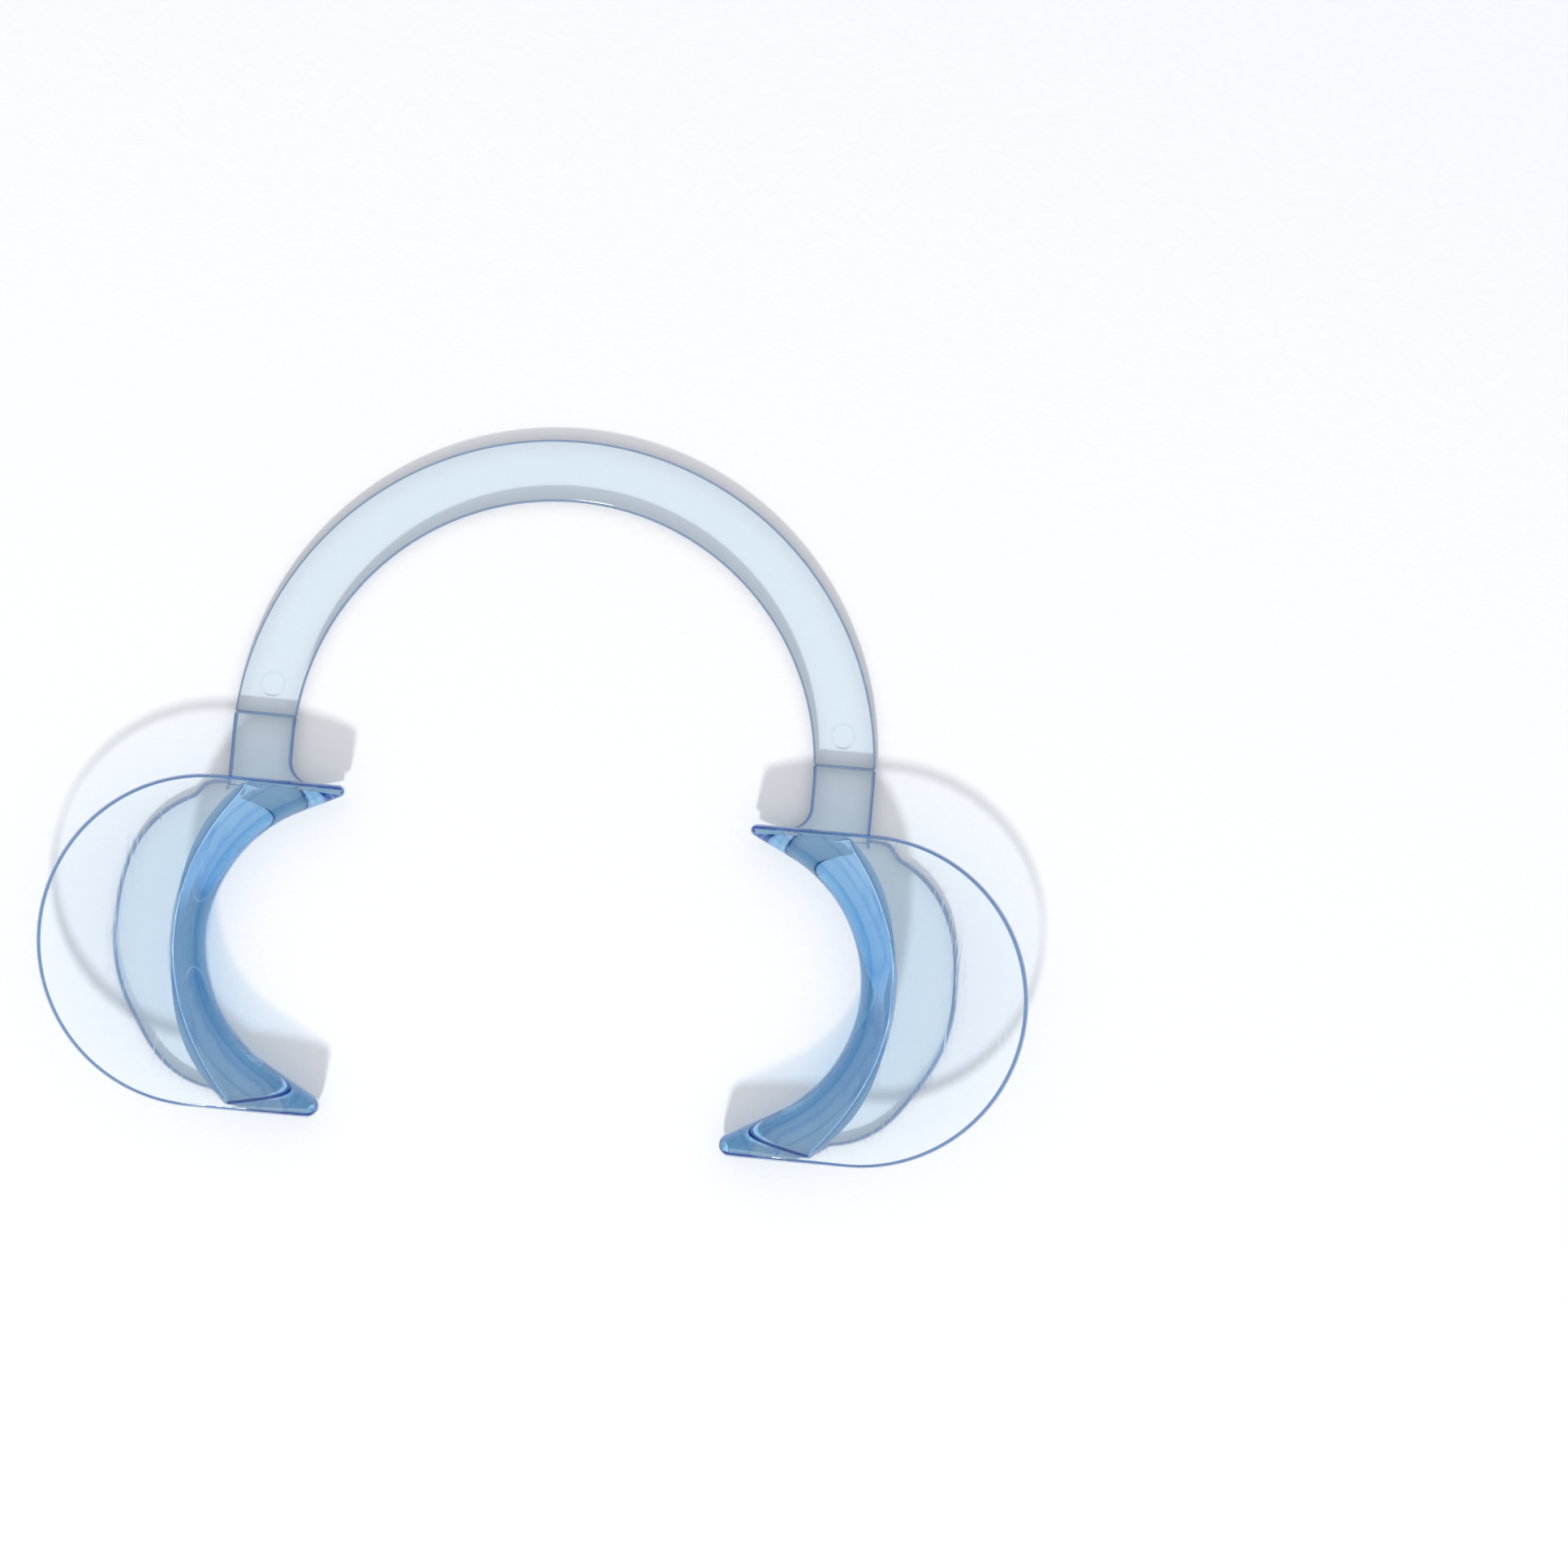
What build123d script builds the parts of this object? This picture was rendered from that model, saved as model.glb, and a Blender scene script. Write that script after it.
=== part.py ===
from build123d import *
import os
from math import acos, atan2, cos, degrees, hypot, radians, sin

# Cheek retractor: a spring bow carries two flanges that face each other. Each flange is a
# U-shaped lip channel, open away from the mouth: a small plate lies against the face, a larger
# one goes inside the cheek, and a curved saddle between them takes the corner of the mouth.
# Millimetres, +Z up, lying on the face-side plates. The origin is under the middle of the
# bounding box, +Y points to the bow's crown and +X to the wearer's flange that is on the right.

# Driving dimensions
HEIGHT = 10.5  # over both plates of a flange
PLATE_THICKNESS = 1.5
BEND_RADIUS = 3.9  # outside of the saddle's bends

BOW_OUTER_RADIUS = 40.6
BOW_INNER_RADIUS = 32.8
ARM_WIDTH = BOW_OUTER_RADIUS - BOW_INNER_RADIUS
BOW_THICKNESS = 2.0
BOW_CENTRE = 26.3  # above the flange's centre line
BOW_EDGE_RADIUS = 0.45

ROOT_THICKNESS = 2.2  # the polished foot of each arm stands a little proud of the bow
ROOT_TOP = 29.0  # the step across the arm, above the flange's centre line
INNER_FLARE = 2.9  # radius where the arm runs into the upper horn
OUTER_FLARE = 1.0

CHEEK_RADIUS = 20.9
CHEEK_CENTRE = (41.4, 0.0)
FACE_RADIUS = 19.5
FACE_CENTRE = (33.9, 0.8)
RIM_RADIUS = 0.6

SADDLE_RADIUS = 18.1  # the concave edge towards the mouth
SADDLE_CENTRE = (23.0, 0.8)
SADDLE_UPPER_ANGLE = 64.0  # where the edge runs straight on to the horns
SADDLE_LOWER_ANGLE = -61.0
CHANNEL_RADIUS = 27.6  # the channel's upright floor, which is also the saddle's back
CHANNEL_CENTRE = (17.4, 0.8)
CHANNEL_UPPER_ANGLE = 49.0  # where the channel ends against the solid horns
CHANNEL_LOWER_ANGLE = -49.0
UPPER_TIP_RADIUS = 0.75
LOWER_TIP_RADIUS = 1.4

RING_CENTRE = (36.1, 32.9)  # ejector pin's mark on the arm
RING_RADIUS = 1.65
RING_WIDTH = 0.25
RING_DEPTH = 0.1

# Derived places
CROWN = BOW_CENTRE + BOW_OUTER_RADIUS
FLANGE_Y = -(CROWN - CHEEK_RADIUS) / 2
REACH = 120.0  # longer than the object, for cutting shapes
HORN_REACH = 24.0  # runs the saddle's straight edges past the horn tips


def flange_plane(height=0.0):
    """A horizontal plane whose origin is midway between the two cheek plates."""
    return Plane(origin=(0, FLANGE_Y, height))


def polar(centre, radius, angle):
    """The point at this distance and angle in degrees from a centre."""
    x = centre[0] + radius * cos(radians(angle))
    y = centre[1] + radius * sin(radians(angle))
    return (x, y)


def tangent_angle(centre, radius, outside, side):
    """The angle on a circle where a line from an outside point touches it."""
    dx = outside[0] - centre[0]
    dy = outside[1] - centre[1]
    towards = degrees(atan2(dy, dx))
    return towards + side * degrees(acos(radius / hypot(dx, dy)))


# Plan outlines of the right flange, in the flange plane
edge_top = polar(SADDLE_CENTRE, SADDLE_RADIUS, SADDLE_UPPER_ANGLE)
edge_foot = polar(SADDLE_CENTRE, SADDLE_RADIUS, SADDLE_LOWER_ANGLE)
past_upper_tip = polar(edge_top, HORN_REACH, SADDLE_UPPER_ANGLE + 90)
past_lower_tip = polar(edge_foot, HORN_REACH, SADDLE_LOWER_ANGLE - 90)

with BuildSketch() as cheek_outline:
    with Locations(CHEEK_CENTRE):
        Circle(CHEEK_RADIUS)
        Rectangle(HORN_REACH, 2 * CHEEK_RADIUS, align=(Align.MAX, Align.CENTER))
    with Locations(SADDLE_CENTRE):
        Circle(SADDLE_RADIUS, mode=Mode.SUBTRACT)
    Polygon(edge_top, past_upper_tip, past_lower_tip, edge_foot, align=None, mode=Mode.SUBTRACT)
    tips = cheek_outline.vertices().sort_by(Axis.X)[:2].sort_by(Axis.Y)
    fillet(tips[0], LOWER_TIP_RADIUS)
    upper_tip = cheek_outline.vertices().sort_by_distance(tips[1])[0]
    fillet(upper_tip, UPPER_TIP_RADIUS)

cheek_box = cheek_outline.sketch.bounding_box()
upper_point = (cheek_box.min.X + UPPER_TIP_RADIUS, CHEEK_RADIUS)
lower_point = (cheek_box.min.X + LOWER_TIP_RADIUS, -CHEEK_RADIUS)
upper_touch = tangent_angle(FACE_CENTRE, FACE_RADIUS, upper_point, -1)
lower_touch = tangent_angle(FACE_CENTRE, FACE_RADIUS, lower_point, 1)

with BuildSketch() as face_outline:
    with Locations(FACE_CENTRE):
        Circle(FACE_RADIUS)
    Polygon(
        polar(FACE_CENTRE, FACE_RADIUS, upper_touch),
        polar(FACE_CENTRE, FACE_RADIUS, lower_touch),
        lower_point,
        (0, lower_point[1]),
        (0, upper_point[1]),
        upper_point,
        align=None,
    )
    add(cheek_outline.sketch, mode=Mode.INTERSECT)

with BuildSketch() as channel_sector:
    Polygon(
        SADDLE_CENTRE,
        polar(SADDLE_CENTRE, REACH, CHANNEL_LOWER_ANGLE),
        polar(SADDLE_CENTRE, REACH, CHANNEL_UPPER_ANGLE),
        align=None,
    )

with BuildSketch() as channel_floor:
    with Locations(CHANNEL_CENTRE):
        Circle(CHANNEL_RADIUS)

with BuildSketch() as horn_sector:
    with Locations(SADDLE_CENTRE):
        Rectangle(REACH, REACH)
    Polygon(
        SADDLE_CENTRE,
        polar(SADDLE_CENTRE, REACH, CHANNEL_LOWER_ANGLE),
        polar(SADDLE_CENTRE, REACH, CHANNEL_UPPER_ANGLE),
        align=None,
        mode=Mode.SUBTRACT,
    )


def round_rim(part, radius):
    """Rounds the edges of a plate that follow its outer circle."""
    rim = part.edges().filter_by(
        lambda e: e.geom_type == GeomType.CIRCLE and abs(e.radius - radius) < 0.01
    )
    fillet(rim, RIM_RADIUS)


# Lip channel: its two plates and the saddle between them
with BuildPart() as cheek_plate:
    with BuildSketch(flange_plane(HEIGHT - PLATE_THICKNESS)):
        add(cheek_outline.sketch)
        add(channel_sector.sketch, mode=Mode.INTERSECT)
        add(channel_floor.sketch, mode=Mode.SUBTRACT)
    extrude(amount=PLATE_THICKNESS)
    round_rim(cheek_plate, CHEEK_RADIUS)

with BuildPart() as face_plate:
    with BuildSketch(flange_plane()):
        add(face_outline.sketch)
        add(channel_sector.sketch, mode=Mode.INTERSECT)
        add(channel_floor.sketch, mode=Mode.SUBTRACT)
    extrude(amount=PLATE_THICKNESS)
    round_rim(face_plate, FACE_RADIUS)


def edge_section_plane(origin, angle):
    """A plane across the saddle's edge: x points outward at this angle, y points up."""
    outward = (cos(radians(angle)), sin(radians(angle)), 0)
    along = (sin(radians(angle)), -cos(radians(angle)), 0)
    return Plane(origin=origin, x_dir=outward, z_dir=along)


# What rounding takes off the moulding's full height, along the whole concave edge
with BuildPart() as edge_rounding:
    with BuildLine(flange_plane()) as edge_path:
        Line(past_upper_tip, edge_top)
        ThreePointArc(edge_top, polar(SADDLE_CENTRE, SADDLE_RADIUS, 0), edge_foot)
        Line(edge_foot, past_lower_tip)
    path_start = (past_upper_tip[0], past_upper_tip[1] + FLANGE_Y, 0)
    with BuildSketch(edge_section_plane(path_start, SADDLE_UPPER_ANGLE)):
        with Locations((0, 0), (0, HEIGHT)):
            Rectangle(2 * BEND_RADIUS, 2 * BEND_RADIUS)
        with Locations((BEND_RADIUS, BEND_RADIUS), (BEND_RADIUS, HEIGHT - BEND_RADIUS)):
            Circle(BEND_RADIUS, mode=Mode.SUBTRACT)
    sweep(path=edge_path.wire())


with BuildPart() as saddle:
    with BuildSketch(flange_plane()):
        add(cheek_outline.sketch)
        add(channel_sector.sketch, mode=Mode.INTERSECT)
        add(channel_floor.sketch, mode=Mode.INTERSECT)
    extrude(amount=HEIGHT)
    add(edge_rounding.part, mode=Mode.SUBTRACT)


def make_horn(upper):
    """A solid tip that closes one end of the channel."""
    above = Align.MIN if upper else Align.MAX
    with BuildPart() as horn:
        with BuildSketch(flange_plane()):
            add(face_outline.sketch)
            add(horn_sector.sketch, mode=Mode.INTERSECT)
            Rectangle(REACH, REACH, align=(Align.CENTER, above), mode=Mode.INTERSECT)
        extrude(amount=HEIGHT - PLATE_THICKNESS)
        with BuildSketch(flange_plane(HEIGHT - PLATE_THICKNESS)):
            add(cheek_outline.sketch)
            add(horn_sector.sketch, mode=Mode.INTERSECT)
            Rectangle(REACH, REACH, align=(Align.CENTER, above), mode=Mode.INTERSECT)
        extrude(amount=PLATE_THICKNESS)
        add(edge_rounding.part, mode=Mode.SUBTRACT)
    return horn


upper_horn = make_horn(upper=True)
lower_horn = make_horn(upper=False)

# Spring bow: half of the arch, and the foot that joins it to the flange
with BuildSketch() as bow_outline:
    with Locations((0, BOW_CENTRE)):
        Circle(BOW_OUTER_RADIUS)
        Circle(BOW_INNER_RADIUS, mode=Mode.SUBTRACT)
        Rectangle(REACH, REACH, align=(Align.MIN, Align.MIN), mode=Mode.INTERSECT)

with BuildPart() as arm_root:
    with BuildSketch(flange_plane()) as root_outline:
        add(face_outline.sketch)
        add(bow_outline.sketch)
        with Locations((BOW_INNER_RADIUS, BOW_CENTRE)):
            Rectangle(ARM_WIDTH, BOW_CENTRE - SADDLE_RADIUS, align=(Align.MIN, Align.MAX))
        near_horn = (BOW_INNER_RADIUS, upper_point[1])
        fillet(root_outline.vertices().sort_by_distance(near_horn)[0], INNER_FLARE)
        near_rim = (BOW_OUTER_RADIUS, FACE_CENTRE[1] + FACE_RADIUS)
        fillet(root_outline.vertices().sort_by_distance(near_rim)[0], OUTER_FLARE)
        add(face_outline.sketch, mode=Mode.SUBTRACT)
        with Locations((0, ROOT_TOP)):
            Rectangle(REACH, REACH, align=(Align.CENTER, Align.MAX), mode=Mode.INTERSECT)
    extrude(amount=ROOT_THICKNESS)

with BuildPart() as bow:
    with BuildSketch(flange_plane()):
        add(bow_outline.sketch)
        with Locations((0, ROOT_TOP)):
            Rectangle(REACH, REACH, align=(Align.CENTER, Align.MIN), mode=Mode.INTERSECT)
    extrude(amount=BOW_THICKNESS)
    fillet(bow.edges().filter_by(GeomType.CIRCLE), BOW_EDGE_RADIUS)
    with BuildSketch(flange_plane(BOW_THICKNESS)):
        with Locations(RING_CENTRE):
            Circle(RING_RADIUS)
            Circle(RING_RADIUS - RING_WIDTH, mode=Mode.SUBTRACT)
    extrude(amount=-RING_DEPTH, mode=Mode.SUBTRACT)

# The left side mirrors the right one
pieces = {
    "bow": bow.part,
    "arm_root": arm_root.part,
    "face_plate": face_plate.part,
    "saddle": saddle.part,
    "cheek_plate": cheek_plate.part,
    "upper_horn": upper_horn.part,
    "lower_horn": lower_horn.part,
}
os.makedirs("parts", exist_ok=True)
for name, right_piece in pieces.items():
    left_piece = mirror(right_piece, about=Plane.YZ)
    for side, piece in (("right", right_piece), ("left", left_piece)):
        piece.label = f"{side}_{name}"
        export_step(piece, f"parts/{side}_{name}.step")
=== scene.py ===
from math import acos, asin, atan2, cos, hypot, pi, radians, sin, sqrt, tan

import bmesh
import bpy
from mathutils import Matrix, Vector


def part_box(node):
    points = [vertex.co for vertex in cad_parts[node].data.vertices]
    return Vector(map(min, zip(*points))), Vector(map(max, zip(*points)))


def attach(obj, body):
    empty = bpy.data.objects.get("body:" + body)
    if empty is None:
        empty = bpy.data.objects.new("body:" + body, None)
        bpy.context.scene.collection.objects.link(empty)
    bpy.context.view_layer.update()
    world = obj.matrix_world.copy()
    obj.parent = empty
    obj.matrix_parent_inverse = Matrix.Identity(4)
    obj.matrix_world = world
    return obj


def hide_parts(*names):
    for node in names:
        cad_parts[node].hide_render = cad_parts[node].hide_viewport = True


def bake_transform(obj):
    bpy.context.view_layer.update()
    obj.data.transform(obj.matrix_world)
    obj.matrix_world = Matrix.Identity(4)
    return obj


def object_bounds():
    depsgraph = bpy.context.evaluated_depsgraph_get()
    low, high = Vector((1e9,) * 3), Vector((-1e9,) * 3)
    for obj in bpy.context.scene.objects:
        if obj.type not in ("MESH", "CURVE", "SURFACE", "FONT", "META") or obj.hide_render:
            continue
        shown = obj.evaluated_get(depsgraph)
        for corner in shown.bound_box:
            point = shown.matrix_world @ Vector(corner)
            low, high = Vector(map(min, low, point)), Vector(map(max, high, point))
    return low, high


# Looks of a clear blue cheek retractor, lying on a pale floor and seen from straight above.
# Shapes are worked out in millimetres in the flange plane, whose origin is midway between the
# cheek plates on the floor, and written as meshes in metres in the part's frame.

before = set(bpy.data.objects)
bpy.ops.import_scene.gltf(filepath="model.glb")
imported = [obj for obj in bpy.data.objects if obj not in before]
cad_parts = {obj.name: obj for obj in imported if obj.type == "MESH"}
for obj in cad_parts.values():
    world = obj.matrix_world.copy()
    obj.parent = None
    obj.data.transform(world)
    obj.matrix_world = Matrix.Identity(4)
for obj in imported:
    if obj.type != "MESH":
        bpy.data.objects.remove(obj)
cad_low, cad_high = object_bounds()

MM = 0.001
cheek_low, cheek_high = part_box("right_cheek_plate")
bow_low, bow_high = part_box("right_bow")
root_low, root_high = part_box("right_arm_root")
_, face_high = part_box("right_face_plate")

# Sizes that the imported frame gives
HEIGHT = (cad_high[2] - cad_low[2]) / MM
PLATE = (cheek_high[2] - cheek_low[2]) / MM
CHEEK_RADIUS = (cheek_high[1] - cheek_low[1]) / MM / 2
CHEEK_CENTRE = (cheek_high[0] / MM - CHEEK_RADIUS, 0.0)
FLANGE_Y = (cheek_high[1] + cheek_low[1]) / MM / 2
FLOOR_Z = cad_low[2] / MM
BOW_THICKNESS = (bow_high[2] - bow_low[2]) / MM
ROOT_THICKNESS = (root_high[2] - root_low[2]) / MM
ROOT_TOP = root_high[1] / MM - FLANGE_Y
BOW_CROWN = bow_high[1] / MM - FLANGE_Y

# Driving sizes of the moulding, as in its design
BOW_OUTER = 40.6
BOW_INNER = 32.8
BOW_CENTRE_Y = BOW_CROWN - BOW_OUTER
FACE_CENTRE = (33.9, 0.8)
FACE_RADIUS = face_high[0] / MM - FACE_CENTRE[0]
SADDLE_CENTRE = (23.0, 0.8)
SADDLE_RADIUS = 18.1
SADDLE_UPPER = 64.0
SADDLE_LOWER = -61.0
UPPER_TIP = 0.75
LOWER_TIP = 1.4
CHANNEL_CENTRE = (17.4, 0.8)
CHANNEL_RADIUS = 27.6
INNER_FLARE = 2.9
OUTER_FLARE = 1.0

# The nose is the saddle's rounded edge towards the mouth, blunt in the middle and longer at the horns
NOSE_MIDDLE = 3.9
NOSE_HORN = 6.3
NOSE_SPAN = 52  # degrees from the saddle's middle to where the nose is longest, beside the channel's ends
NOSE_FLAT = 1.35  # half the height of its straight wall
BAND_WIDTH = 4.4  # how far its painted blue shade bands reach in from the edge at most, short of the tips
CHANNEL_FILLET = 0.6  # between the channel's floor and its plates
CHANNEL_END = 0.8  # rounds the channel's pointed ends
OPEN_DEPTH = 1.2  # depth of channel from which the face plate's rim has its full shape
RIM_ROUND = 0.42  # upper edge of both plates' rims
RIM_LEAN = tan(radians(13))  # draft of the rims
RIM_FOOT = 0.2  # lower edge
RIM_REACH = RIM_ROUND + RIM_LEAN * (PLATE - RIM_ROUND - RIM_FOOT)
HORN_LEDGE = 0.9  # how far the horns' lower sides lie inside the cheek plate's outline
# Degrees on the face plate's circle: from where its rim eases outwards, and where it hooks to a horn's side
UPPER_HOOK = (0.0, 58.0, 69.0)
LOWER_HOOK = (-32.0, -75.0, -85.0)
EASED = 0.33  # share of the way to the horn's side that the rim has gone where the hook starts
SEAM = 0.01  # gap on each side of the step between the bow and an arm's foot
BEVEL = 0.2  # on both sides of that step


# Plan geometry of the right flange


def polar(centre, radius, degrees):
    a = radians(degrees)
    return (centre[0] + radius * cos(a), centre[1] + radius * sin(a))


def tip_centre(radius, edge_angle, side):
    """Centre of the arc that rounds the corner between a horn's straight edge and its outer edge."""
    edge = polar(SADDLE_CENTRE, SADDLE_RADIUS, edge_angle)
    nx, ny = cos(radians(edge_angle)), sin(radians(edge_angle))
    y = side * (CHEEK_RADIUS - radius)
    return (edge[0] + (radius - (y - edge[1]) * ny) / nx, y)


UPPER_CENTRE = tip_centre(UPPER_TIP, SADDLE_UPPER, 1)
LOWER_CENTRE = tip_centre(LOWER_TIP, SADDLE_LOWER, -1)


def to_circle(p, u, centre, radius):
    """Distance along a ray to where it leaves a circle."""
    dx, dy = p[0] - centre[0], p[1] - centre[1]
    b = dx * u[0] + dy * u[1]
    inside = b * b - dx * dx - dy * dy + radius * radius
    return sqrt(max(inside, 0.0)) - b


def cheek_leg(p, u):
    """Distance along a ray to the cheek plate's rim."""
    if abs(u[1]) > 1e-6:
        side = 1 if u[1] > 0 else -1
        t = (side * CHEEK_RADIUS - p[1]) / u[1]
        if p[0] + t * u[0] <= CHEEK_CENTRE[0]:
            return t
    return to_circle(p, u, CHEEK_CENTRE, CHEEK_RADIUS)


def smooth(t):
    t = min(max(t, 0.0), 1.0)
    return t * t * (3 - 2 * t)


def face_leg(p, u, cheek):
    """Distance along a ray to the face plate's rim, which bends out at the horns, beside the
    cheek plate's rim."""
    side = cheek - HORN_LEDGE
    t = to_circle(p, u, FACE_CENTRE, FACE_RADIUS)
    hit = (p[0] + t * u[0] - FACE_CENTRE[0], p[1] + t * u[1] - FACE_CENTRE[1])
    angle = atan2(hit[1], hit[0]) * 180 / pi
    if t <= 0:
        return side
    start, hook, stop = UPPER_HOOK if u[1] > 0 else LOWER_HOOK
    out = EASED * smooth((angle - start) / (hook - start))
    out += (1 - EASED) * smooth((angle - hook) / (stop - hook))
    return t + (side - t) * out


CHANNEL_STOP = 1.2  # no rib from this share on crosses the lip channel
HORN_SHARE = 2.0  # share of the ribs on the horns' straight edges and tips


def station(p, u, cheek, face, share, tip=0.0):
    """One rib of the flange: where it starts, its direction, and what its section needs there.
    share runs from 0 at the saddle's middle to 1 where the nose is longest, and tip from 0
    where a horn's straight edge starts to 1 at its tip."""
    depth = 0.0
    if share < CHANNEL_STOP:
        back = to_circle(p, u, CHANNEL_CENTRE, CHANNEL_RADIUS)
        reach = max(face - back, 0.0)
        depth = sqrt(max(reach * reach - CHANNEL_END * CHANNEL_END, 0.0))
    return {
        "p": p,
        "u": u,
        "cheek": cheek,
        "face": min(face, cheek),
        "nose": NOSE_MIDDLE + (NOSE_HORN - NOSE_MIDDLE) * smooth(share),
        "depth": depth,
        "tip": tip,
    }


def rim_station(p, u, share, tip=0.0):
    """A rib that runs from the flange's inner edge to the plates' rims."""
    cheek = cheek_leg(p, u)
    return station(p, u, cheek, face_leg(p, u, cheek), share, tip)


def tip_stations(centre, radius, inner_angle, outer_angle, steps):
    """Ribs across a rounded horn tip, from its extreme point to where its straight edges start."""
    middle = (inner_angle + outer_angle) / 2
    ribs = []
    for k in range(1, steps + 1):
        f = sin(pi / 2 * k / steps)
        inner = polar(centre, radius, middle + (inner_angle - middle) * f)
        outer = polar(centre, radius, middle + (outer_angle - middle) * f)
        length = hypot(outer[0] - inner[0], outer[1] - inner[1])
        u = ((outer[0] - inner[0]) / length, (outer[1] - inner[1]) / length)
        ribs.append(station(inner, u, length, length, HORN_SHARE, 1.0))
    return ribs


def straight_stations(centre, radius, edge_angle, outer_angle, steps):
    """Ribs along a horn's straight edge, turning from across the tip to square to the edge."""
    first = polar(centre, radius, edge_angle + 180)
    outer = polar(centre, radius, outer_angle)
    last = polar(SADDLE_CENTRE, SADDLE_RADIUS, edge_angle)
    start = atan2(outer[1] - first[1], outer[0] - first[0])
    turn = radians(edge_angle) - start
    ribs = []
    for k in range(1, steps + 1):
        f = k / steps
        p = (first[0] + (last[0] - first[0]) * f, first[1] + (last[1] - first[1]) * f)
        a = start + turn * smooth(f)
        u = (cos(a), sin(a))
        ribs.append(rim_station(p, u, HORN_SHARE, 1 - smooth(f)))
    return ribs


def arc_stations(steps):
    """Ribs that stand square to the saddle's round edge, from the upper horn to the lower one."""
    ribs = []
    for k in range(1, steps):
        angle = SADDLE_UPPER + (SADDLE_LOWER - SADDLE_UPPER) * k / steps
        p = polar(SADDLE_CENTRE, SADDLE_RADIUS, angle)
        u = (cos(radians(angle)), sin(radians(angle)))
        ribs.append(rim_station(p, u, abs(angle) / NOSE_SPAN))
    return ribs


def flange_ribs():
    upper = tip_stations(UPPER_CENTRE, UPPER_TIP, SADDLE_UPPER + 180, 90, 10)
    upper += straight_stations(UPPER_CENTRE, UPPER_TIP, SADDLE_UPPER, 90, 30)
    lower = tip_stations(LOWER_CENTRE, LOWER_TIP, SADDLE_LOWER + 180, 270, 12)
    lower += straight_stations(LOWER_CENTRE, LOWER_TIP, SADDLE_LOWER, 270, 30)
    return upper + arc_stations(260) + lower[::-1]


# Section of the flange along one rib: points (distance from the saddle's edge, height)


NOSE_STEPS = 18  # faces round the nose on each side
NOSE_REACH = 1  # faces beyond it that its bands fade out on
RIM_ROUNDING = [90 - 82 * k / 7 for k in range(1, 8)]  # degrees along a rim's upper edge
RIM_FOOT_TURNS = (8, -12, -38, -64, -90)  # and along its lower edge
FILLET_TURNS = (15, 30, 45, 60, 75, 90)  # and along the channel's fillets


def spread(a, b, steps, edge=0.12):
    """Heights or distances from a to b, with one short step at each end to keep the flats flat."""
    span = b - a
    near = min(edge, 0.2 * abs(span)) * (1 if span >= 0 else -1)
    inner = [a + near + (span - 2 * near) * k / (steps - 2) for k in range(steps - 1)]
    return inner + [b]


def nose_height(d, nose):
    """Half the moulding's height at a distance from the saddle's edge."""
    rest = 1 - min(d, nose) / nose
    return NOSE_FLAT + (HEIGHT / 2 - NOSE_FLAT) * sqrt(max(1 - rest * rest, 0.0))


def rim_points(edge, top, round_top, lean, foot, low):
    """The side of a plate: rounded above, then leaning out to a small rounded edge below."""
    points = []
    middle = edge - lean - round_top
    for turn in RIM_ROUNDING:
        a = radians(turn)
        points.append((middle + round_top * cos(a), top - round_top + round_top * sin(a)))
    for turn in RIM_FOOT_TURNS:
        a = radians(turn)
        points.append((edge - foot + foot * cos(a), low + foot + foot * sin(a)))
    return points


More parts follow.
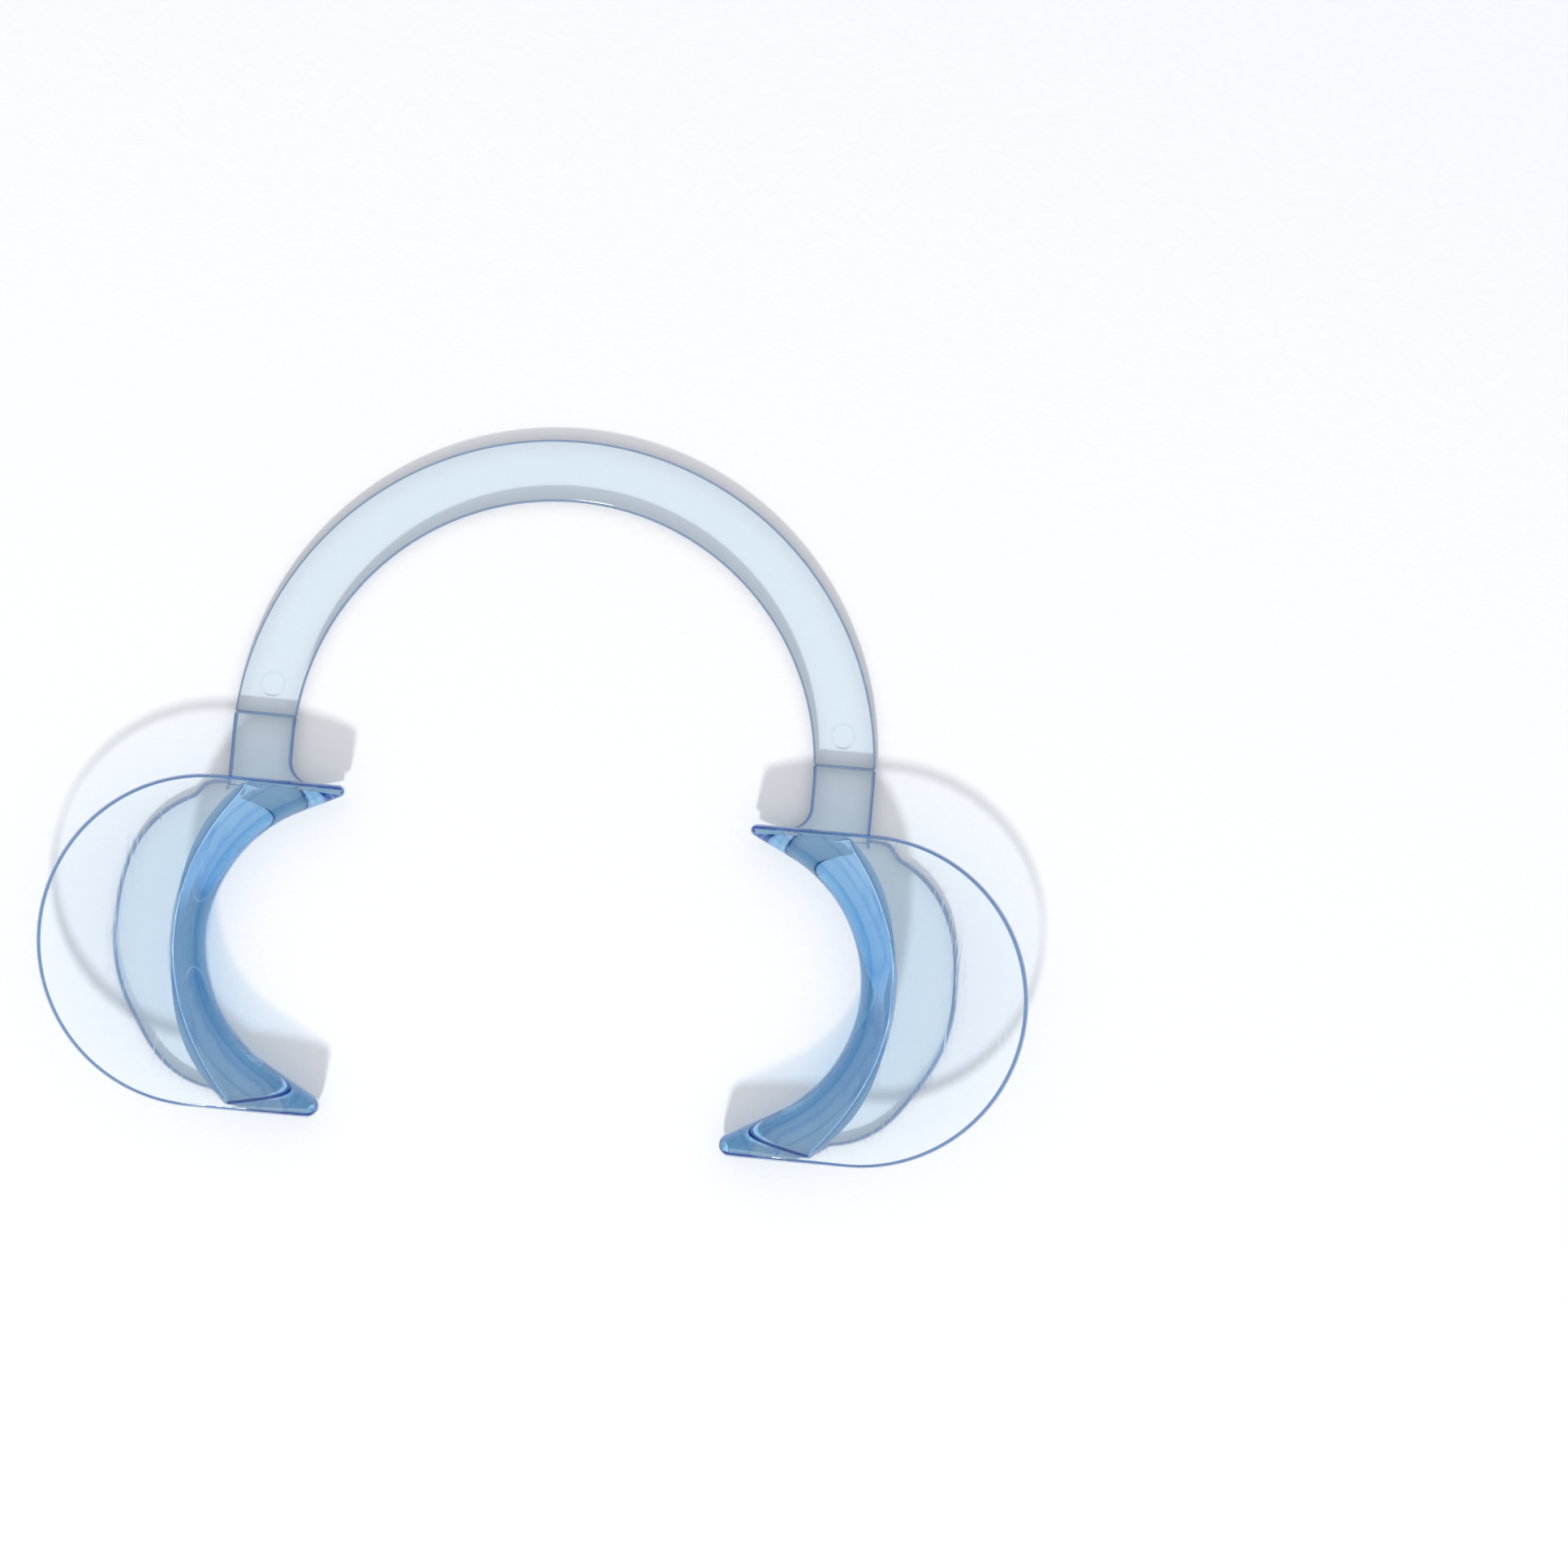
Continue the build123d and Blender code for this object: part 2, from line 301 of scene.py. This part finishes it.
def section(rib):
    """The closed outline of one rib, always with the same number of points.
    Returns it with the numbers of the points that start on the plates' rims."""
    middle = HEIGHT / 2
    nose, cheek, face, depth = rib["nose"], rib["cheek"], rib["face"], rib["depth"]
    wall = face - depth
    size = min(1.0, 0.45 * cheek / RIM_REACH)
    end = cheek - RIM_REACH * size
    points = []
    bend = min(nose, end)
    full = acos(1 - bend / nose)
    for k in range(NOSE_STEPS + 1):
        d = nose * (1 - cos(full * k / NOSE_STEPS))
        points.append((d, middle + nose_height(d, nose)))
    for d in spread(bend, end, 16):
        points.append((d, middle + nose_height(d, nose)))
    top = middle + nose_height(end, nose)
    foot = 2 * middle - top
    # cheek plate's rim, which ends below on the channel or on the narrower side of a horn
    rims = [len(points) - 1]
    ledge = max(cheek - wall, 0.0)
    roof = top - PLATE
    low = min(RIM_FOOT * size, ledge)
    points += rim_points(cheek, top, RIM_ROUND * size, (RIM_REACH - RIM_ROUND) * size, low, roof)
    rims.append(len(points) - 2)
    back = min(wall, cheek - low)
    fillet = min(CHANNEL_FILLET, 0.9 * max(ledge - low, 0.0), 0.9 * depth + 0.05)
    for d in spread(cheek - low, back + fillet, 12):
        points.append((d, roof))
    for turn in FILLET_TURNS:
        a = radians(turn)
        points.append((back + fillet * (1 - sin(a)), roof - fillet * (1 - cos(a))))
    # face plate's rim; where the horn closes the channel its side runs straight down
    floor_top = foot + PLATE
    open_here = min(depth / OPEN_DEPTH, 1.0)
    reach = RIM_REACH * size * open_here
    fillet_low = min(CHANNEL_FILLET, 0.9 * max(depth - reach, 0.0))
    for z in spread(roof - fillet, floor_top + fillet_low, 6):
        points.append((back, z))
    for turn in FILLET_TURNS:
        a = radians(turn)
        points.append((back + fillet_low * (1 - cos(a)), floor_top + fillet_low * (1 - sin(a))))
    for d in spread(back + fillet_low, max(face - reach, back), 12):
        points.append((d, floor_top))
    rims.append(len(points) - 1)
    side = min(face, cheek - low)
    lower = min(RIM_FOOT, 0.3 * side)
    round_here = RIM_ROUND * size * open_here
    points += rim_points(side, floor_top, round_here, reach - round_here, lower, foot)
    rims.append(len(points) - 2)
    end_low = side - lower
    bend_low = min(nose, end_low)
    shift = foot - middle + nose_height(end_low, nose)
    for d in spread(end_low, bend_low, 16):
        points.append((d, middle - nose_height(d, nose) + shift * d / max(end_low, 1e-6)))
    full = acos(1 - bend_low / nose)
    for k in range(NOSE_STEPS - 1, -1, -1):
        d = nose * (1 - cos(full * k / NOSE_STEPS))
        points.append((d, middle - nose_height(d, nose) + shift * d / max(end_low, 1e-6)))
    return points, rims


# Materials


def node_tools(material):
    """Short ways to add and join nodes in a material."""
    tree = material.node_tree

    def add(kind, **settings):
        node = tree.nodes.new(kind)
        for name, value in settings.items():
            if name in node.inputs:
                node.inputs[name].default_value = value
            else:
                setattr(node, name.lower(), value)
        return node

    def join(source, target):
        tree.links.new(source, target)

    return add, join


# Painted shade: rims and noses get deeper blue base colours, standing in for the deeper blue that light
# takes on after a long way inside the plastic
CLEAR = (1.0, 1.0, 1.0)
EDGE = (0.45, 0.6, 0.88)
DEEP = (0.14, 0.26, 0.72)
LINE = (0.4, 0.62, 0.88)
AZURE = (0.5, 0.8, 0.95)
MIDDLE = (0.8, 0.9, 0.97)
DEEP_NOSE = (0.34, 0.6, 0.9)
NOSE_SHADE_BANDS = (
    (0.04, LINE),
    (0.08, MIDDLE),
    (0.6, MIDDLE),
    (0.64, LINE),
    (0.68, LINE),
    (0.71, AZURE),
    (0.8, AZURE),
    (0.82, LINE),
    (0.85, AZURE),
    (0.92, AZURE),
    (0.95, LINE),
)

# What one metre of the plastic takes from red, green and blue light
ABSORBED = (42.0, 18.0, 3.5)

BANDS_ACROSS = 26.0  # how fast the painted shade bands' waver changes across the nose
BANDS_ALONG = 0.09  # and along it, per millimetre
WAVER = 0.08  # how far the bands wander, as a share of their place

GRAIN_SCALE = 2600.0
WAVE_SCALE = 180.0
WAVE = 0.02 * MM  # height of the polished faces' slow waves
SCRATCH_STRETCH = (5200, 170, 170)
SCRATCH_TURN = 0.9
SCRATCH_SHARE = (0.64, 0.7)  # noise above these values is cut as scratches
SCRATCH = 0.006 * MM


def paint_nose_shade(add, join, shader):
    """Paints shade on the saddle's rounded edge: bands of deeper blue along the edge, standing in for the
    way that light takes inside it.
    """
    across = add("ShaderNodeAttribute", attribute_name="nose")
    run = add("ShaderNodeAttribute", attribute_name="nose_run")
    place = add("ShaderNodeCombineXYZ")
    stretch = add("ShaderNodeMath", operation="MULTIPLY")
    stretch.inputs[1].default_value = BANDS_ACROSS
    slow = add("ShaderNodeMath", operation="MULTIPLY")
    slow.inputs[1].default_value = BANDS_ALONG
    join(across.outputs["Fac"], stretch.inputs[0])
    join(run.outputs["Fac"], slow.inputs[0])
    join(stretch.outputs[0], place.inputs[0])
    join(slow.outputs[0], place.inputs[1])
    streaks = add("ShaderNodeTexNoise", Scale=1.0, Detail=2.0, Roughness=0.6)
    join(place.outputs[0], streaks.inputs["Vector"])
    waver = add("ShaderNodeMath", operation="MULTIPLY_ADD")
    waver.inputs[1].default_value = WAVER
    waver.inputs[2].default_value = 1 - WAVER / 2
    join(streaks.outputs["Fac"], waver.inputs[0])
    shift = add("ShaderNodeMath", operation="MULTIPLY")
    join(across.outputs["Fac"], shift.inputs[0])
    join(waver.outputs[0], shift.inputs[1])
    ramp = add("ShaderNodeValToRGB")
    join(shift.outputs[0], ramp.inputs["Fac"])
    stops = ramp.color_ramp.elements
    stops[0].position = 0.0
    stops[0].color = (*CLEAR, 1)
    stops[1].position = 1.0
    stops[1].color = (*DEEP_NOSE, 1)
    for position, colour in NOSE_SHADE_BANDS:
        stops.new(position).color = (*colour, 1)
    join(ramp.outputs["Color"], shader.inputs["Base Color"])


def clear_plastic(name, tint, cast, grain, grain_roughness):
    """Clear blue plastic, polished but for a fine grain whose height is grain in millimetres.
    cast is the share of red, green and blue light that each of its surfaces lets on to what lies
    behind. tint is its base colour, on rims a painted deeper-blue shade; without a tint, it takes
    the nose's painted bands of shade."""
    material = bpy.data.materials.new(name)
    material.use_nodes = True
    material.node_tree.nodes.clear()
    add, join = node_tools(material)
    output = add("ShaderNodeOutputMaterial")
    shader = add("ShaderNodeBsdfPrincipled", IOR=1.5)
    shader.inputs["Base Color"].default_value = (*(tint or CLEAR), 1.0)
    shader.inputs["Transmission Weight"].default_value = 1.0
    if tint is None:
        paint_nose_shade(add, join, shader)
    # shadow and diffuse rays pass straight through, so that what lies behind stays bright
    onward = add("ShaderNodeBsdfTransparent")
    onward.inputs["Color"].default_value = (*cast, 1.0)
    path = add("ShaderNodeLightPath")
    surface = shader
    for kind in ("Is Diffuse Ray", "Is Shadow Ray"):
        mix = add("ShaderNodeMixShader")
        join(path.outputs[kind], mix.inputs[0])
        join(surface.outputs[0], mix.inputs[1])
        join(onward.outputs[0], mix.inputs[2])
        surface = mix
    join(surface.outputs[0], output.inputs["Surface"])
    density = max(ABSORBED)
    colour = [1 - a / density for a in ABSORBED]
    volume = add("ShaderNodeVolumeAbsorption", Density=density)
    volume.inputs["Color"].default_value = (*colour, 1.0)
    join(volume.outputs[0], output.inputs["Volume"])
    place = add("ShaderNodeTexCoord")
    fine = add("ShaderNodeTexNoise", Scale=GRAIN_SCALE, Detail=3.0, Roughness=0.6)
    wavy = add("ShaderNodeTexNoise", Scale=WAVE_SCALE, Detail=1.0, Roughness=0.4)
    for noise in (fine, wavy):
        join(place.outputs["Object"], noise.inputs["Vector"])
    rough = add("ShaderNodeMapRange")
    rough.inputs["To Min"].default_value = grain_roughness * 0.7
    rough.inputs["To Max"].default_value = grain_roughness * 1.3
    join(fine.outputs["Fac"], rough.inputs["Value"])
    join(rough.outputs[0], shader.inputs["Roughness"])
    turn = add("ShaderNodeMapping")
    turn.inputs["Rotation"].default_value = (0, 0, SCRATCH_TURN)
    turn.inputs["Scale"].default_value = SCRATCH_STRETCH
    join(place.outputs["Object"], turn.inputs["Vector"])
    streaks = add("ShaderNodeTexNoise", Scale=1.0, Detail=1.0, Roughness=0.5)
    join(turn.outputs[0], streaks.inputs["Vector"])
    scratches = add("ShaderNodeMapRange")
    scratches.inputs["From Min"].default_value = SCRATCH_SHARE[0]
    scratches.inputs["From Max"].default_value = SCRATCH_SHARE[1]
    join(streaks.outputs["Fac"], scratches.inputs["Value"])
    cuts = add("ShaderNodeBump", Strength=1.0, Distance=SCRATCH)
    join(scratches.outputs[0], cuts.inputs["Height"])
    waves = add("ShaderNodeBump", Strength=0.5, Distance=WAVE)
    join(cuts.outputs[0], waves.inputs["Normal"])
    join(wavy.outputs["Fac"], waves.inputs["Height"])
    texture = add("ShaderNodeBump", Strength=1.0, Distance=grain * MM)
    join(fine.outputs["Fac"], texture.inputs["Height"])
    join(waves.outputs[0], texture.inputs["Normal"])
    join(texture.outputs[0], shader.inputs["Normal"])
    return material


FLAT_CAST = (0.935, 0.945, 0.955)
NOSE_CAST = (0.78, 0.84, 0.9)
EDGE_CAST = (0.6, 0.62, 0.66)

# Painted shade: the rim and nose plastics take deeper blue base colours in place of the blue that light
# takes on deep inside the plastic
polished_plastic = clear_plastic("polished_clear_blue", CLEAR, FLAT_CAST, 0.0008, 0.02)
paler_rim_shade_plastic = clear_plastic("edge_clear_blue", EDGE, EDGE_CAST, 0.0008, 0.03)
deeper_rim_shade_plastic = clear_plastic("deep_edge_clear_blue", DEEP, EDGE_CAST, 0.0008, 0.03)
nose_band_shade_plastic = clear_plastic("nose_clear_blue", None, NOSE_CAST, 0.0008, 0.02)
grained_plastic = clear_plastic("grained_clear_blue", CLEAR, FLAT_CAST, 0.004, 0.05)
PLASTICS = (polished_plastic, paler_rim_shade_plastic, deeper_rim_shade_plastic, nose_band_shade_plastic)


# Numbers of the plastics in every mesh; RIM, DEEP_RIM and NOSE carry painted deeper-blue shade
FLAT, RIM, DEEP_RIM, NOSE = range(4)


# Mesh building


def mesh_object(name, bm):
    mesh = bpy.data.meshes.new(name)
    for material in PLASTICS:
        mesh.materials.append(material)
    bmesh.ops.recalc_face_normals(bm, faces=bm.faces)
    bm.to_mesh(mesh)
    bm.free()
    obj = bpy.data.objects.new(name, mesh)
    bpy.context.scene.collection.objects.link(obj)
    return obj


MERGE = 0.002 * MM  # points nearer to each other than this become one


def skin(name, loops, slots, shares=None):
    """A closed mesh through loops of equal length, given in millimetres in the flange plane.
    slots holds the material numbers of each loop's outline faces, and shares how near each point is
    to the saddle's edge, from 0 where the nose's painted shade bands end to 1 at the edge. End faces
    take the rim's painted shade."""
    bm = bmesh.new()
    across = bm.verts.layers.float.new("nose")
    along = bm.verts.layers.float.new("nose_run")
    rings = []
    run = 0.0
    for number, loop in enumerate(loops):
        ring = [bm.verts.new((x * MM, (y + FLANGE_Y) * MM, (z + FLOOR_Z) * MM)) for x, y, z in loop]
        if number:
            run += hypot(loop[0][0] - loops[number - 1][0][0], loop[0][1] - loops[number - 1][0][1])
        for i, vert in enumerate(ring):
            vert[across] = shares[number][i] if shares else 0.0
            vert[along] = run
        rings.append(ring)
    count = len(rings[0])
    for number, (a, b) in enumerate(zip(rings, rings[1:])):
        for i in range(count):
            j = (i + 1) % count
            face = bm.faces.new((a[i], a[j], b[j], b[i]))
            face.material_index = slots[number][i]
    for ring in (rings[0], rings[-1]):
        middle = sum((v.co for v in ring), start=ring[0].co * 0) / count
        hub = bm.verts.new(middle)
        hub[across] = ring[0][across]
        for i in range(count):
            bm.faces.new((ring[i], ring[(i + 1) % count], hub)).material_index = RIM
    bmesh.ops.remove_doubles(bm, verts=bm.verts, dist=MERGE)
    bmesh.ops.dissolve_degenerate(bm, edges=bm.edges, dist=MERGE)
    return mesh_object(name, bm)


def applied(obj):
    """Replaces an object's mesh by what its modifiers make of it."""
    graph = bpy.context.evaluated_depsgraph_get()
    mesh = bpy.data.meshes.new_from_object(obj.evaluated_get(graph))
    obj.modifiers.clear()
    old = obj.data
    obj.data = mesh
    bpy.data.meshes.remove(old)
    return obj


def combine(obj, tool, operation):
    boolean = obj.modifiers.new("boolean", "BOOLEAN")
    boolean.operation = operation
    boolean.solver = "EXACT"
    boolean.object = tool
    applied(obj)
    bpy.data.objects.remove(tool)
    return obj


def mirrored(obj, name):
    bm = bmesh.new()
    bm.from_mesh(obj.data)
    for v in bm.verts:
        v.co.x = -v.co.x
    bmesh.ops.reverse_faces(bm, faces=bm.faces)
    return mesh_object(name, bm)


def polished(obj, sharp=38):
    """Smooth shading that keeps flats flat and true corners sharp."""
    obj.data.polygons.foreach_set("use_smooth", [True] * len(obj.data.polygons))
    obj.data.set_sharp_from_angle(angle=radians(sharp))
    weighted = obj.modifiers.new("weighted", "WEIGHTED_NORMAL")
    weighted.keep_sharp = True
    weighted.weight = 80
    return applied(obj)


TIP_SPREAD = 0.75  # how much further the painted blue shade bands spread at the horns' tips
RIM_TOP_FACES = 5  # a rim's upper faces, painted a paler blue shade than the rest, which end short of the tips
PALE_RIM_END = 0.6


def flange_skin():
    loops = []
    shares = []
    slots = []
    for rib in flange_ribs():
        px, py = rib["p"]
        ux, uy = rib["u"]
        band = min(rib["nose"], BAND_WIDTH) / (1 - TIP_SPREAD * rib["tip"])
        outline, rims = section(rib)
        loops.append([(px + d * ux, py + d * uy, z) for d, z in outline])
        shares.append([max(1 - d / band, 0.0) for d, z in outline])
        # painted shade: nose faces take the nose's bands, rim faces a paler or deeper blue
        numbers = [FLAT] * len(outline)
        for i in range(NOSE_STEPS + NOSE_REACH):
            numbers[i] = NOSE
            numbers[-1 - i] = NOSE
        pale = RIM_TOP_FACES if rib["tip"] < PALE_RIM_END else 0
        for first, last in ((rims[0], rims[1]), (rims[2], rims[3])):
            for i in range(first, last + 1):
                numbers[i] = RIM if i < first + pale else DEEP_RIM
        slots.append(numbers)
    return skin("right_flange", loops, slots, shares)


# Flat bands: the bow and the arms' feet


def quarter(corner, radius, start, steps):
    """Points on a quarter of a circle, from a start angle in degrees, turning clockwise."""
    points = []
    for k in range(1, steps + 1):
        a = radians(start - 90 * k / steps)
        points.append((corner[0] + radius * cos(a), corner[1] + radius * sin(a)))
    return points


def band_section(left, right, bottom, top, edge):
    """A flat bar's outline with rounded corners, as (distance across, height)."""
    points = []
    corners = (
        (right - edge, top - edge, 90),
        (right - edge, bottom + edge, 0),
        (left + edge, bottom + edge, -90),
        (left + edge, top - edge, 180),
    )
    for x, z, start in corners:
        points.append((x + edge * cos(radians(start)), z + edge * sin(radians(start))))
        points += quarter((x, z), edge, start, 6)
    # the long flats get more points, close to their ends too, so that shading keeps them flat
    full = []
    steps = spread(0.0, 1.0, 10, 0.02)[:-1]
    for a, b in zip(points, points[1:] + points[:1]):
        full.append(a)
        if hypot(b[0] - a[0], b[1] - a[1]) > 3 * edge:
            full += [(a[0] + (b[0] - a[0]) * f, a[1] + (b[1] - a[1]) * f) for f in steps]
    return full


FOOT_LOW = 18.4  # how far an arm's foot runs down into the flange
FOOT_FULL = 20.3  # where it reaches its full thickness
FOOT_THIN = 1.3  # its thickness at its low end, inside the flange
FOOT_SLANT = 1.2  # how fast its inner side draws in below the horn's outer edge
FOOT_LIFT = 0.02  # keeps its underside off the face plate's, for a clean union
FOOT_EDGE = 0.45
FOOT_SIDES = (0.2, 0.46)  # how far in from its sides the painted deep and paler blue shade reach
HORN_LINE = 20.65  # where the arm's inner flare meets the horn's outer edge
RIM_LINE = 18.8  # where the arm's outer flare meets the face plate's rim
BOW_EDGE = 0.55
# how far in from the bow's sides the painted deep and paler blue shade reach
BOW_SIDES = (0.05, 0.25)
BOW_STEPS = 220


def flare(y, start, radius):
    """How far a concave fillet has spread sideways at y, above the edge that it runs into."""
    up = start + radius - y
    if up <= 0:
        return 0.0
    return radius - sqrt(max(radius * radius - min(up, radius) ** 2, 0.0))


def arm_foot():
    """The polished foot: straight down from the bow's end, then flared into the flange."""
    loops = []
    top = ROOT_TOP - SEAM
    heights = [FOOT_LOW]
    for goal, steps in ((FOOT_FULL, 12), (HORN_LINE + INNER_FLARE, 24), (BOW_CENTRE_Y, 6), (top - BEVEL, 6)):
        start = heights[-1]
        heights += [start + (goal - start) * k / steps for k in range(1, steps + 1)]
    heights += [top - BEVEL / 2, top]
    for y in heights:
        bend = max(y - BOW_CENTRE_Y, 0.0)
        left = sqrt(BOW_INNER**2 - bend**2)
        right = sqrt(BOW_OUTER**2 - bend**2)
        left -= flare(y, HORN_LINE, INNER_FLARE)
        right += min(flare(y, RIM_LINE, OUTER_FLARE), 0.6 * OUTER_FLARE)
        ramp = smooth((y - FOOT_LOW) / (FOOT_FULL - FOOT_LOW))
        thick = FOOT_THIN + (ROOT_THICKNESS - FOOT_THIN) * ramp
        if y < HORN_LINE:
            left += (HORN_LINE - y) * FOOT_SLANT
        cut = max(y - top + BEVEL, 0.0)
        outline = band_section(left + cut, right - cut, FOOT_LIFT + cut, thick - cut, FOOT_EDGE)
        loops.append([(x, y, z) for x, z in outline])
    sides = bar_slots(outline, *FOOT_SIDES)
    rim = [RIM] * len(outline)
    return skin("foot", loops, [sides] * (len(loops) - 3) + [rim, rim])


def bar_slots(outline, deep, edge):
    """Material numbers of a flat bar's outline faces: its sides and its rounded edges, which take painted
    deeper and paler blue shade, and its flats.
    """
    left = min(x for x, z in outline)
    right = max(x for x, z in outline)
    slots = []
    for a, b in zip(outline, outline[1:] + outline[:1]):
        middle = (a[0] + b[0]) / 2
        inward = min(middle - left, right - middle)
        if inward < deep:
            slots.append(DEEP_RIM)
        elif inward < edge:
            slots.append(RIM)
        else:
            slots.append(FLAT)
    return slots


def bow_band():
    """The bow as one band, from the step on one arm to the step on the other."""
    rise = ROOT_TOP + SEAM - BOW_CENTRE_Y
    outline = band_section(BOW_INNER, BOW_OUTER, 0.0, BOW_THICKNESS, BOW_EDGE)
    small = band_section(BOW_INNER + BEVEL, BOW_OUTER - BEVEL, BEVEL, BOW_THICKNESS - BEVEL, BOW_EDGE)
    turns = [k / BOW_STEPS for k in range(1, BOW_STEPS)]
    near = BEVEL / (BOW_OUTER * pi)
    loops = []
    for turn in [0.0, near] + turns + [1 - near, 1.0]:
        loop = []
        for r, z in small if turn in (0.0, 1.0) else outline:
            start = asin(rise / r)
            a = start + (pi - 2 * start) * turn
            loop.append((r * cos(a), BOW_CENTRE_Y + r * sin(a), z))
        loops.append(loop)
    sides = bar_slots(outline, *BOW_SIDES)
    rim = [RIM] * len(outline)
    return skin("spring_bow", loops, [rim] + [sides] * (len(loops) - 3) + [rim])


# Ejector pins leave a fine round groove on each arm
RING_CENTRE = (36.1, 32.9)
RING_RADIUS = 1.65
RING_WIDTH = 0.34
RING_DEPTH = 0.16
RING_PARTS = 72


def ring_cutter(x, y):
    """A thin ring with a pointed lower edge, which stands through the bow's upper face."""
    bm = bmesh.new()
    loops = []
    low, surface = BOW_THICKNESS - RING_DEPTH, BOW_THICKNESS + 0.02
    inner = RING_RADIUS - RING_WIDTH
    middle = RING_RADIUS - RING_WIDTH / 2
    corners = ((inner, surface), (middle, low), (RING_RADIUS, surface), (middle, surface + 0.5))
    for k in range(RING_PARTS):
        a = 2 * pi * k / RING_PARTS
        loops.append(
            [
                bm.verts.new(((x + r * cos(a)) * MM, (y + FLANGE_Y + r * sin(a)) * MM, (z + FLOOR_Z) * MM))
                for r, z in corners
            ]
        )
    for a, b in zip(loops, loops[1:] + loops[:1]):
        for i in range(4):
            j = (i + 1) % 4
            bm.faces.new((a[i], a[j], b[j], b[i]))
    return mesh_object("ring", bm)


# Pieces

bow = bow_band()
for side in (-1, 1):
    combine(bow, ring_cutter(side * RING_CENTRE[0], RING_CENTRE[1]), "DIFFERENCE")
right_flange = combine(flange_skin(), arm_foot(), "UNION")
left_flange = mirrored(right_flange, "left_flange")
for piece in (bow, right_flange, left_flange):
    polished(piece)
bow.data.materials[0] = grained_plastic

FLANGE_NODES = ("arm_root", "face_plate", "saddle", "cheek_plate", "upper_horn", "lower_horn")
for side, piece in (("left", left_flange), ("right", right_flange)):
    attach(piece, side + "_half")
    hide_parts(*[side + "_" + node for node in FLANGE_NODES])
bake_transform(bow)
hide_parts("left_bow", "right_bow")


# Floor, light and camera


FLOOR_GAP = 0.02 * MM


def pale_floor():
    mesh = bpy.data.meshes.new("floor")
    half = 2.0
    z = cad_low[2] - FLOOR_GAP
    corners = [(-half, -half, z), (half, -half, z), (half, half, z), (-half, half, z)]
    mesh.from_pydata(corners, [], [(0, 1, 2, 3)])
    floor = bpy.data.objects.new("floor", mesh)
    bpy.context.scene.collection.objects.link(floor)
    material = bpy.data.materials.new("pale_floor")
    material.use_nodes = True
    add, join = node_tools(material)
    shader = material.node_tree.nodes["Principled BSDF"]
    shader.inputs["Roughness"].default_value = 0.7
    place = add("ShaderNodeTexCoord")
    grain = add("ShaderNodeTexNoise", Scale=800.0, Detail=4.0, Roughness=0.6)
    join(place.outputs["Object"], grain.inputs["Vector"])
    shade = add("ShaderNodeMix", data_type="RGBA")
    shade.inputs["A"].default_value = (0.86, 0.86, 0.865, 1)
    shade.inputs["B"].default_value = (0.9, 0.9, 0.9, 1)
    join(grain.outputs["Fac"], shade.inputs["Factor"])
    join(shade.outputs["Result"], shader.inputs["Base Color"])
    bump = add("ShaderNodeBump", Strength=0.5, Distance=0.12 * MM)
    join(grain.outputs["Fac"], bump.inputs["Height"])
    join(bump.outputs[0], shader.inputs["Normal"])
    mesh.materials.append(material)


DOME = 1.1
HORIZON = (0.1, 0.15, 0.26)
KEY = 8.5
KEY_SIZE = 0.12
KEY_AZIMUTH = -96
KEY_ELEVATION = 47
KEY_DISTANCE = 1.3


def studio_light():
    world = bpy.data.worlds.new("studio")
    bpy.context.scene.world = world
    world.use_nodes = True
    add, join = node_tools(world)
    background = world.node_tree.nodes["Background"]
    background.inputs["Strength"].default_value = DOME
    place = add("ShaderNodeTexCoord")
    parts = add("ShaderNodeSeparateXYZ")
    join(place.outputs["Generated"], parts.inputs[0])
    ramp = add("ShaderNodeValToRGB")
    join(parts.outputs["Z"], ramp.inputs["Fac"])
    ramp.color_ramp.interpolation = "EASE"
    ramp.color_ramp.elements[0].position = 0.3
    ramp.color_ramp.elements[0].color = (*HORIZON, 1)
    ramp.color_ramp.elements[1].position = 0.85
    ramp.color_ramp.elements[1].color = (1, 1, 1, 1)
    join(ramp.outputs["Color"], background.inputs["Color"])
    key = bpy.data.lights.new("key", "AREA")
    key.shape = "DISK"
    key.size = KEY_SIZE
    key.energy = KEY
    lamp = bpy.data.objects.new("key", key)
    bpy.context.scene.collection.objects.link(lamp)
    azimuth = radians(KEY_AZIMUTH)
    elevation = radians(KEY_ELEVATION)
    lamp.location = (
        KEY_DISTANCE * cos(elevation) * cos(azimuth),
        KEY_DISTANCE * cos(elevation) * sin(azimuth),
        KEY_DISTANCE * sin(elevation),
    )
    lamp.rotation_euler = (-lamp.location).to_track_quat("-Z", "Y").to_euler()


# The camera looks straight down; the retractor lies turned a little clockwise in its view
VIEW_TURN = 5.3
VIEW_WIDTH = 197.0
VIEW_HEIGHT = 1.2
VIEW_OFFSET = (31.5, 23.4)  # from midway between the cheek plates to the view's middle, as seen
SENSOR = 36
FOCUS_LIFT = 5 * MM  # VIEW_WIDTH holds this high above the floor


def overhead_camera():
    data = bpy.data.cameras.new("camera")
    data.sensor_width = SENSOR
    data.lens = SENSOR * (VIEW_HEIGHT - FOCUS_LIFT) / (VIEW_WIDTH * MM)
    camera = bpy.data.objects.new("camera", data)
    bpy.context.scene.collection.objects.link(camera)
    a = radians(VIEW_TURN)
    across, up = VIEW_OFFSET
    x = across * cos(a) - up * sin(a)
    y = across * sin(a) + up * cos(a) + FLANGE_Y
    camera.location = (x * MM, y * MM, VIEW_HEIGHT)
    camera.rotation_euler = (0, 0, a)
    bpy.context.scene.camera = camera


pale_floor()
studio_light()
overhead_camera()
scene = bpy.context.scene
scene.view_settings.view_transform = "Standard"
scene.cycles.max_bounces = 32
scene.cycles.transmission_bounces = 32
scene.cycles.glossy_bounces = 16
scene.cycles.sample_clamp_indirect = 0.0
scene.cycles.caustics_refractive = False
scene.cycles.transparent_max_bounces = 32
